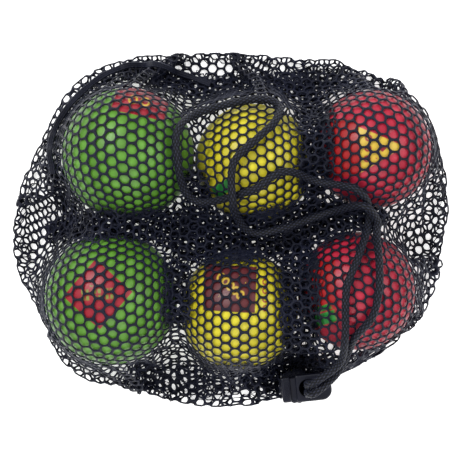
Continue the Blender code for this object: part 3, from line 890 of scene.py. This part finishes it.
# Where the spare cloth lies folded under the top layer: route, half width along it, how much it is crowded,
# layers, and the greatest height of its base
BUNCHES = {
    "between_rows": (((-104, -2), (-80, 2), (-58, 2.5), (-36, 1), (-18, -3), (2, -5),
                      (28, -1), (52, 5), (74, 7), (88, 6)),
                     (12, 8.5, 6, 8.5, 14, 12, 12, 12, 8, 8), 2.8, 5, OPEN_SKY),
    "rim_roll": (((-99, 22), (-100, 40), (-93, 61), (-80, 77), (-67, 87), (-50, 90.5),
                  (-34, 89)), 4.5, 2.4, 3, 7),
    "left_fold": (((-95, 36), (-93, 22), (-88, 8)), 6.5, 2.2, 3, 9),
    "upright_fold": (((43, 86), (46, 66), (47, 48), (45.5, 30), (47, 12)), 8, 2.4, 4, OPEN_SKY),
    "top_fold": (((-60, 87), (-40, 85), (-18, 80), (6, 80), (30, 82), (58, 83),
                  (80, 80)), 7, 2.2, 4, OPEN_SKY),
    "left_gap": (((-20, 32), (-17, 14), (-19, -4)), 7, 2.2, 3, OPEN_SKY),
    "lower_gap": (((-30, -14), (-27.5, -34), (-29, -54)), 6.5, 2.2, 3, OPEN_SKY),
    "right_gap": (((36, 2), (37.5, -22), (37, -44), (39, -62), (41, -76)), 9.5, 2.4, 4, OPEN_SKY),
    "bottom_fold": (((-62, -82), (-40, -84), (-16, -84), (8, -81), (28, -80)), 9.5, 2.2, 2,
                    OPEN_SKY),
    "mouth_folds": (((6, -79), (20, -82), (34, -79), (48, -79), (60, -74)), 11, 2.3, 4, 17)}
FOLD_STEP = 9.0  # of cloth, from one fold to the next
FOLD_HEIGHT = 1.15
BUNCH_SLACK = 1.35  # cloth along a bunch, over the length of its route
BUNCH_MARGIN = 2.5
BUNCH_GAP = 2.6  # from one layer of a bunch to the next
TUCKED_UNDER = 2.4  # from the top layer down to the first


def build_bunch(name, route, half_width, crowd, top, lid, seed, below):
    """A strip of net pushed together into lengthwise folds, lying just under the top layer."""
    route = np.column_stack((route, np.broadcast_to(half_width, len(route))))
    line = evenly_along(smooth_curve(route, 24), 400)
    path, widths = line[:, :2], line[:, 2]
    index = np.arange(len(path))
    length = length_of(path)
    reach = length * BUNCH_SLACK / 2

    def along_route(distance):
        return np.clip(distance / length + 0.5, 0.0, 1.0) * index[-1]

    def in_strip(u, v):
        taper = np.sqrt(np.clip(1.0 - (np.abs(u) / reach) ** 4, 0.0, 1.0))
        ragged = 1.0 + 0.12 * np.sin(u * 0.19 + seed) + 0.08 * np.sin(u * 0.43 + 2 * seed)
        width = np.interp(along_route(u / BUNCH_SLACK), index, widths) * crowd
        return (np.abs(u) < reach) & (np.abs(v) < width * taper * ragged)

    places, lifts, faces = hexagon_net(in_strip)
    u, v = places[:, 0], places[:, 1]
    phase = math.tau * v / FOLD_STEP + 1.9 * np.sin(u * 0.085 + seed) + 1.1 * np.sin(u * 0.21 + 2.3 * seed)
    cross = math.tau * u / (FOLD_STEP * 1.7) + 1.6 * np.sin(v * 0.17 + seed)
    across_by = v / crowd + 1.3 * np.sin(phase)
    at = along_route(u / BUNCH_SLACK + 0.7 * np.sin(cross))
    depth = FOLD_HEIGHT * np.cos(phase) + 0.7 * np.cos(cross) + 0.4 * np.sin(u * 0.5 + v * 0.37)
    tangent = smoothed(unit(np.gradient(path, axis=0)), 40)
    middle_line, ahead = between(at, index, path), between(at, index, tangent)
    spot = middle_line + np.stack((-ahead[:, 1], ahead[:, 0]), 1) * across_by[:, None]
    keep_inside(spot, BUNCH_MARGIN)
    level = np.minimum(top[map_cells(spot)], lid) - TUCKED_UNDER - FOLD_HEIGHT - below + depth
    for centre, ball in zip(BALL_CENTRES, BALL_RADII):
        off = np.hypot(spot[:, 0] - centre[0], spot[:, 1] - centre[1])
        over = np.sqrt(np.maximum((ball + SKIN + 0.4) ** 2 - off ** 2, 0.0))
        inside = (off < ball + SKIN) & (level > centre[2] - over)
        level = np.where(inside, np.maximum(level, centre[2] + over - 0.9), level)
    level = np.maximum(level, FLOOR_NET_TOP + 1.3)
    vertices = both_faces(spot, level, lifts * BUNCH_THICKNESS)
    bunch = add_piece(f"net_bunched_{name}", vertices, faces, NET_YARN, "bag")
    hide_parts("net_upper")


def build_mouth_fill():
    """The cloth's own folds squeezed together inside the drawn mouth, seen down the lock's hole."""
    count, rows = 200, 30
    angle = np.arange(count) * math.tau / count
    share = np.linspace(0.0, 1.0, rows)[:, None]
    radius = 0.04 + (HEM_OUTER - 1.4) * share
    x = HEM_MIDDLE[0] + 3.4 * (1.0 - 0.4 * share) + radius * np.cos(angle)
    y = HEM_MIDDLE[1] + radius * np.sin(angle)
    folds = (1.3 * np.sin(angle * 9 + 4.0 * share) * share ** 0.7
             + 0.6 * np.sin(angle * 21 - 7.0 * share) * share + 0.7 * np.sin(x * 1.3) * np.cos(y * 1.1))
    upper = NECK_LOW + 2.2 + folds
    top_points = np.stack((x, y, upper), -1)
    low_points = np.stack((x, y, upper - 0.8), -1)[::-1]
    ring = np.concatenate((top_points, low_points)).reshape(-1, 3)
    faces = tube_faces(2 * rows, count, ring=True)
    fill = add_piece("neck_inner_folds", ring, faces, TAPE_YARN, "bag")
    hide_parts("gathered_neck")


# ---- the balls

def shape_mask(tree, place, centre, turn, half_size, kind):
    """1 inside a flat shape on the top of a ball, a printed shape or a painted net shadow, in the ball's own
    millimetres.
    """
    calc = partial(maths, tree)
    split = tree.nodes.new("ShaderNodeSeparateXYZ")
    tree.links.new(place, split.inputs[0])
    x = calc("SUBTRACT", calc("MULTIPLY", split.outputs[0], 1000.0), centre[0])
    y = calc("SUBTRACT", calc("MULTIPLY", split.outputs[1], 1000.0), centre[1])
    cos, sin = math.cos(math.radians(turn)), math.sin(math.radians(turn))
    along = calc("ADD", calc("MULTIPLY", x, cos), calc("MULTIPLY", y, sin))
    across = calc("SUBTRACT", calc("MULTIPLY", y, cos), calc("MULTIPLY", x, sin))
    wide = calc("DIVIDE", calc("ABSOLUTE", along), half_size[0])
    tall = calc("DIVIDE", calc("ABSOLUTE", across), half_size[1])
    if kind == "box":
        distance = calc("MAXIMUM", wide, tall)
    elif kind == "diamond":
        distance = calc("ADD", wide, tall)
    elif kind == "triangle":
        slope = calc("DIVIDE", across, half_size[1])
        distance = calc("MAXIMUM", calc("MULTIPLY", slope, -1.0), calc("MULTIPLY_ADD", slope, 0.5, wide))
    else:
        distance = calc("SQRT", calc("ADD", calc("MULTIPLY", wide, wide), calc("MULTIPLY", tall, tall)))
    edge = 0.4 / min(half_size)
    inside = ramp(tree, distance, 1.0 - edge, 1.0 + edge, 1.0, 0.0)
    return calc("MULTIPLY", inside, ramp(tree, split.outputs[2], 0.0, 0.002))


def ball_material(name, colour, prints_and_net_shadows):
    """Coloured rubber, slightly mottled and scuffed, with plain printed shapes and, on the red balls, a
    painted shadow of the net.
    """
    material, tree, shader = new_material(name)
    place = object_place(tree)
    deep = tuple(channel * 0.80 for channel in colour) + (1.0,)
    pale = tuple(min(channel * 1.10 + 0.01, 1.0) for channel in colour) + (1.0,)
    mottle = ramp(tree, noise(tree, place, 70.0, 3.0), 0.35, 0.65)
    tone = mix_colour(tree, mottle, deep, pale)
    scuff = ramp(tree, noise(tree, place, 210.0, 5.0, 0.7), 0.60, 0.78, 0.0, 0.30)
    tone = mix_colour(tree, scuff, tone, tuple(c * 0.6 + 0.25 for c in colour) + (1.0,))
    # wear of the printed shapes, and small gaps in the painted net shadow
    wear_and_shadow_gaps = ramp(tree, noise(tree, place, 420.0, 3.0, 0.6), 0.24, 0.34)
    # printed shapes, and on the red balls the painted shadow of the raised net
    for mark_colour, *shape in prints_and_net_shadows:
        mask = maths(tree, "MULTIPLY", shape_mask(tree, place, *shape), wear_and_shadow_gaps)
        tone = mix_colour(tree, mask, tone, (*mark_colour, 1.0))
    skin = noise(tree, place, 900.0, 2.0, 0.6)
    set_shader(shader, {
        "Base Color": tone, "Roughness": ramp(tree, skin, 0.3, 0.7, 0.34, 0.46), "Specular IOR Level": 0.32,
        "Sheen Weight": 0.08, "Sheen Roughness": 0.5, "Coat Weight": 0.06, "Coat Roughness": 0.28})
    bump(tree, shader, skin, 0.00008, 0.35)
    return material


RED_INK = (0.255, 0.006, 0.018)
BROWN_INK = (0.085, 0.010, 0.014)
YELLOW_INK = (0.50, 0.34, 0.030)
OLIVE_INK = (0.16, 0.20, 0.030)
GREEN_INK = (0.015, 0.20, 0.030)
BLUE_INK = (0.012, 0.09, 0.42)
# painted shadow: a darker red where the raised net shades the left side of each red ball
PAINTED_NET_SHADOW = (0.290, 0.004, 0.006)
GREEN = (0.078, 0.235, 0.014)
YELLOW = (0.500, 0.435, 0.008)
CRIMSON = (0.360, 0.003, 0.026)

THREE = (-6.4, 0.0, 6.4)


def repeated(mark_colour, centre, way, steps, turn, half_size, kind):
    """The same shape at every step along a way."""
    return [(mark_colour, (centre[0] + way[0] * step, centre[1] + way[1] * step), turn, half_size, kind)
            for step in steps]


def eyelets(mark_colour, inside, centre, way, steps, turn, outer, inner):
    """Ovals with a smaller one in each."""
    return [*repeated(mark_colour, centre, way, steps, turn, outer, "ring"),
            *repeated(inside, centre, way, steps, turn, inner, "ring")]


PRINTS_AND_NET_SHADOWS = {
    "ball_green_1": [
        (RED_INK, (8.3, 27.7), -12.0, (14.5, 8.5), "box"),
        *eyelets(YELLOW_INK, RED_INK, (4.0, 28.2), (0.0, 0.0), (0,), -12.0, (2.6, 2.6), (1.6, 1.6)),
        *eyelets(YELLOW_INK, RED_INK, (10.5, 27.0), (0.0, 0.0), (0,), -12.0, (2.6, 2.6), (1.6, 1.6))],
    "ball_green_2": [
        (RED_INK, (-5.0, 3.4), 4.0, (18.5, 18.5), "diamond"),
        *repeated(OLIVE_INK, (-5.0, 3.4), (1.0, 0.07), THREE, 4.0, (2.0, 2.8), "box"),
        *repeated(RED_INK, (-5.0, 3.4), (1.0, 0.07), THREE, 4.0, (2.4, 0.5), "box"),
        *repeated(RED_INK, (-5.0, 3.4), (1.0, 0.07), THREE, 4.0, (0.5, 3.0), "box")],
    "ball_yellow_1": [
        (GREEN_INK, (-17.0, -14.5), 30.0, (5.5, 3.2), "box"),
        (BLUE_INK, (28.0, -4.5), 75.0, (6.0, 2.6), "box")],
    "ball_yellow_2": [
        (BROWN_INK, (-5.0, 12.6), -3.0, (13.8, 12.2), "box"),
        *eyelets(YELLOW_INK, BROWN_INK, (-10.0, 18.5), (2.6, -2.3), range(5), -40.0, (1.9, 2.5), (1.0, 1.4)),
        *eyelets(RED_INK, YELLOW, (13.6, 16.0), (0.0, -4.6), range(4), -3.0, (1.5, 1.7), (0.8, 0.9))],
    "ball_red_1": [
        # painted shadow of the raised net over the ball's left side
        (PAINTED_NET_SHADOW, (-27.5, -1.0), 4.0, (18.3, 15.5), "box"),
        (YELLOW_INK, (-1.2, -1.0), -86.0, (8.1, 7.9), "triangle"),
        *eyelets(RED_INK, YELLOW_INK, (-5.0, -1.0), (0.07, 1.0), (-5.5, 0.0, 5.5), 4.0,
                 (1.9, 1.8), (0.9, 0.8)),
        (RED_INK, (2.6, -1.0), 4.0, (2.4, 1.9), "diamond")],
    "ball_red_2": [
        # painted shadow of the raised net over the ball's left side
        (PAINTED_NET_SHADOW, (-28.0, 3.5), 0.0, (15.0, 13.5), "box"),
        (GREEN_INK, (-21.0, -15.0), 20.0, (8.5, 3.2), "box"),
        (GREEN_INK, (-19.5, -8.5), 20.0, (4.0, 1.5), "box")]}
COLOURS = {"green": GREEN, "yellow": YELLOW, "red": CRIMSON}


def build_ball(node, radius):
    """A smooth ball with a fine moulding line round it, turned out of the shared CAD axes."""
    rows, columns = 96, 160
    bm = bmesh.new()
    bmesh.ops.create_uvsphere(bm, u_segments=columns, v_segments=rows, radius=radius * MM)
    for vertex in bm.verts:
        level = abs(vertex.co.z) / MM
        if level < 0.6:
            vertex.co *= 1.0 + 0.0022 * (1.0 - level / 0.6)
        vertex.co *= 1.0 + 0.0006 * math.sin(vertex.co.x / MM * 0.21) * math.cos(vertex.co.y / MM * 0.17)
    mesh = bpy.data.meshes.new(node + "_rubber")
    bm.to_mesh(mesh)
    bm.free()
    mesh.polygons.foreach_set("use_smooth", [True] * len(mesh.polygons))
    _, colour, number = node.split("_")
    mesh.materials.append(ball_material(f"{colour}_rubber_{number}", COLOURS[colour], PRINTS_AND_NET_SHADOWS[node]))
    ball = new_object(f"{colour}_rubber_ball_{number}", mesh)
    ball.location = middle(node)
    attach(ball, f"{colour}_ball_{number}")
    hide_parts(node)


# ---- the lock

LOCK_LEAN = math.radians(6.0)
LOCK_AHEAD = np.array((math.cos(LOCK_LEAN), math.sin(LOCK_LEAN), 0.0))
LOCK_ASIDE = np.array((-math.sin(LOCK_LEAN), math.cos(LOCK_LEAN), 0.0))
RIB_REACH = 5.4  # half a rib's length, across the cap
RIB_PLACES = (2.0, 2.75, 3.5, 4.2)  # from the cap's farthest corner
RIB_HALF_WIDTH = 0.26
SPRING_TURNS = 4.5
SPRING_WIRE = 0.35


def finish_lock(plastic):
    """The barrel and the button keep their CAD shapes, in moulded plastic."""
    for node in ("lock_barrel", "lock_plunger"):
        shape = bpy.data.objects[node]
        shape.data.materials.clear()
        shape.data.materials.append(plastic)


def build_grip_ribs(plastic):
    """Raised ribs across the button's cap, for the thumb."""
    low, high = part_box("lock_plunger")
    corner = np.array((low.x, (low.y + high.y) / 2, (low.z + high.z) / 2)) / MM
    vertices, faces = [], []
    steps, sides = 9, 10
    for along in RIB_PLACES:
        for level in ((high.z - low.z) / 2 / MM, (low.z - high.z) / 2 / MM):
            start = len(vertices)
            for reach in np.linspace(-1.0, 1.0, steps):
                width = RIB_HALF_WIDTH * math.sqrt(max(1.0 - reach ** 8, 0.05))
                spot = corner + LOCK_AHEAD * along + LOCK_ASIDE * (reach * RIB_REACH) + UP * level
                vertices.extend([spot + LOCK_AHEAD * (width * math.cos(turn)) + UP * (width * math.sin(turn))
                                 for turn in np.arange(sides) * math.tau / sides])
            faces.extend(tube_faces(steps, sides, start) + end_faces(steps, sides, start))
    add_piece("button_grip_ribs", np.array(vertices), faces, plastic, "lock_button")


def build_spring():
    """The coil behind the button, which shortens as the button is pressed."""
    low, high = (np.array(corner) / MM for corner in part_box("lock_spring"))
    centre = (low + high) / 2
    coil = (high[2] - low[2]) / 2 - SPRING_WIRE
    half = (high[0] - low[0]) / 2 - SPRING_WIRE - coil * math.sin(LOCK_LEAN)
    part_way = np.linspace(-1.0, 1.0, 220)[:, None]
    angle = math.pi * SPRING_TURNS * (part_way + 1.0)
    path = centre + LOCK_AHEAD * half * part_way + coil * (LOCK_ASIDE * np.cos(angle) + UP * np.sin(angle))
    sides = 12
    rings = rings_round(path, SPRING_WIRE, sides)
    faces = turned(tube_faces(len(path), sides)) + end_faces(len(path), sides)
    spring = add_piece("button_spring_coil", rings.reshape(-1, 3), faces, spring_steel(),
                       "cord_lock")
    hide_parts("lock_spring")
    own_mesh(spring)


# ---- camera, floor and light

CAMERA_OVER = (0.00055, -0.0003)
CAMERA_HEIGHT = 1.0
CAMERA_LENS = 138.3
TABLE_HALF = 3.0
TABLE_LEVEL = -0.0002
LAMPS = (("key", (-0.9, 0.9, 1.5), 0.9, 26.0), ("fill", (1.3, 0.2, 1.2), 1.2, 11.0),
         ("front", (0.1, -1.3, 1.3), 1.2, 10.0))


def build_studio():
    """A white table lit from all round, seen from straight above."""
    camera = bpy.data.cameras.new("camera")
    camera.lens = CAMERA_LENS
    camera.sensor_width = 36.0
    camera.clip_end = 20.0
    camera_object = new_object("camera", camera)
    camera_object.location = (*CAMERA_OVER, CAMERA_HEIGHT)
    bpy.context.scene.camera = camera_object

    material, tree, shader = new_material("white_table")
    shade = noise(tree, object_place(tree), 3.0, 2.0)
    set_shader(shader, {
        "Base Color": mix_colour(tree, shade, (0.90, 0.90, 0.90, 1), (0.93, 0.93, 0.93, 1)), "Roughness": 0.9,
        "Specular IOR Level": 0.0, "Emission Color": (1.0, 1.0, 1.0, 1.0), "Emission Strength": 0.55})
    mesh = bpy.data.meshes.new("white_table")
    corners = [(x * TABLE_HALF, y * TABLE_HALF, TABLE_LEVEL) for x, y in ((-1, -1), (1, -1), (1, 1), (-1, 1))]
    mesh.from_pydata(corners, [], [(0, 1, 2, 3)])
    mesh.materials.append(material)
    table = new_object("white_table", mesh)

    for name, place, size, watts in LAMPS:
        lamp = bpy.data.lights.new(name, "AREA")
        lamp.shape = "DISK"
        lamp.size = size
        lamp.energy = watts
        lamp_object = new_object(name, lamp)
        lamp_object.location = place
        lamp_object.rotation_euler = (-Vector(place)).to_track_quat("-Z", "Y").to_euler()
    world = bpy.data.worlds.new("studio")
    world.use_nodes = True
    world.node_tree.nodes["Background"].inputs["Color"].default_value = (1.0, 1.0, 1.0, 1.0)
    world.node_tree.nodes["Background"].inputs["Strength"].default_value = 0.9
    bpy.context.scene.world = world
    bpy.context.scene.view_settings.view_transform = "Standard"


# ---- everything together

build_studio()
build_cords()
cloth_half, cloth = drape_net(smooth_curve(LOOP_ROUTE))
build_upper_net(cloth_half, cloth)
build_lower_net()
build_neck()
build_hem()
net_top = net_top_map(cloth_half, cloth)
build_seam(net_top)
net_top = smoothed(smoothed(net_top, 12).T, 12).T
for seed, (bunch_name, (route, widths, crowd, layers, lid)) in enumerate(BUNCHES.items()):
    for layer in range(layers):
        build_bunch(f"{bunch_name}_{layer + 1}", route, widths, crowd, net_top, lid, seed + 2.7 * layer,
                    BUNCH_GAP * layer)
build_mouth_fill()
for ball_name, ball_radius in zip(BALLS, BALL_RADII):
    build_ball(ball_name, ball_radius)
lock_plastic = moulded_plastic()
finish_lock(lock_plastic)
build_grip_ribs(lock_plastic)
build_spring()

bpy.context.view_layer.update()
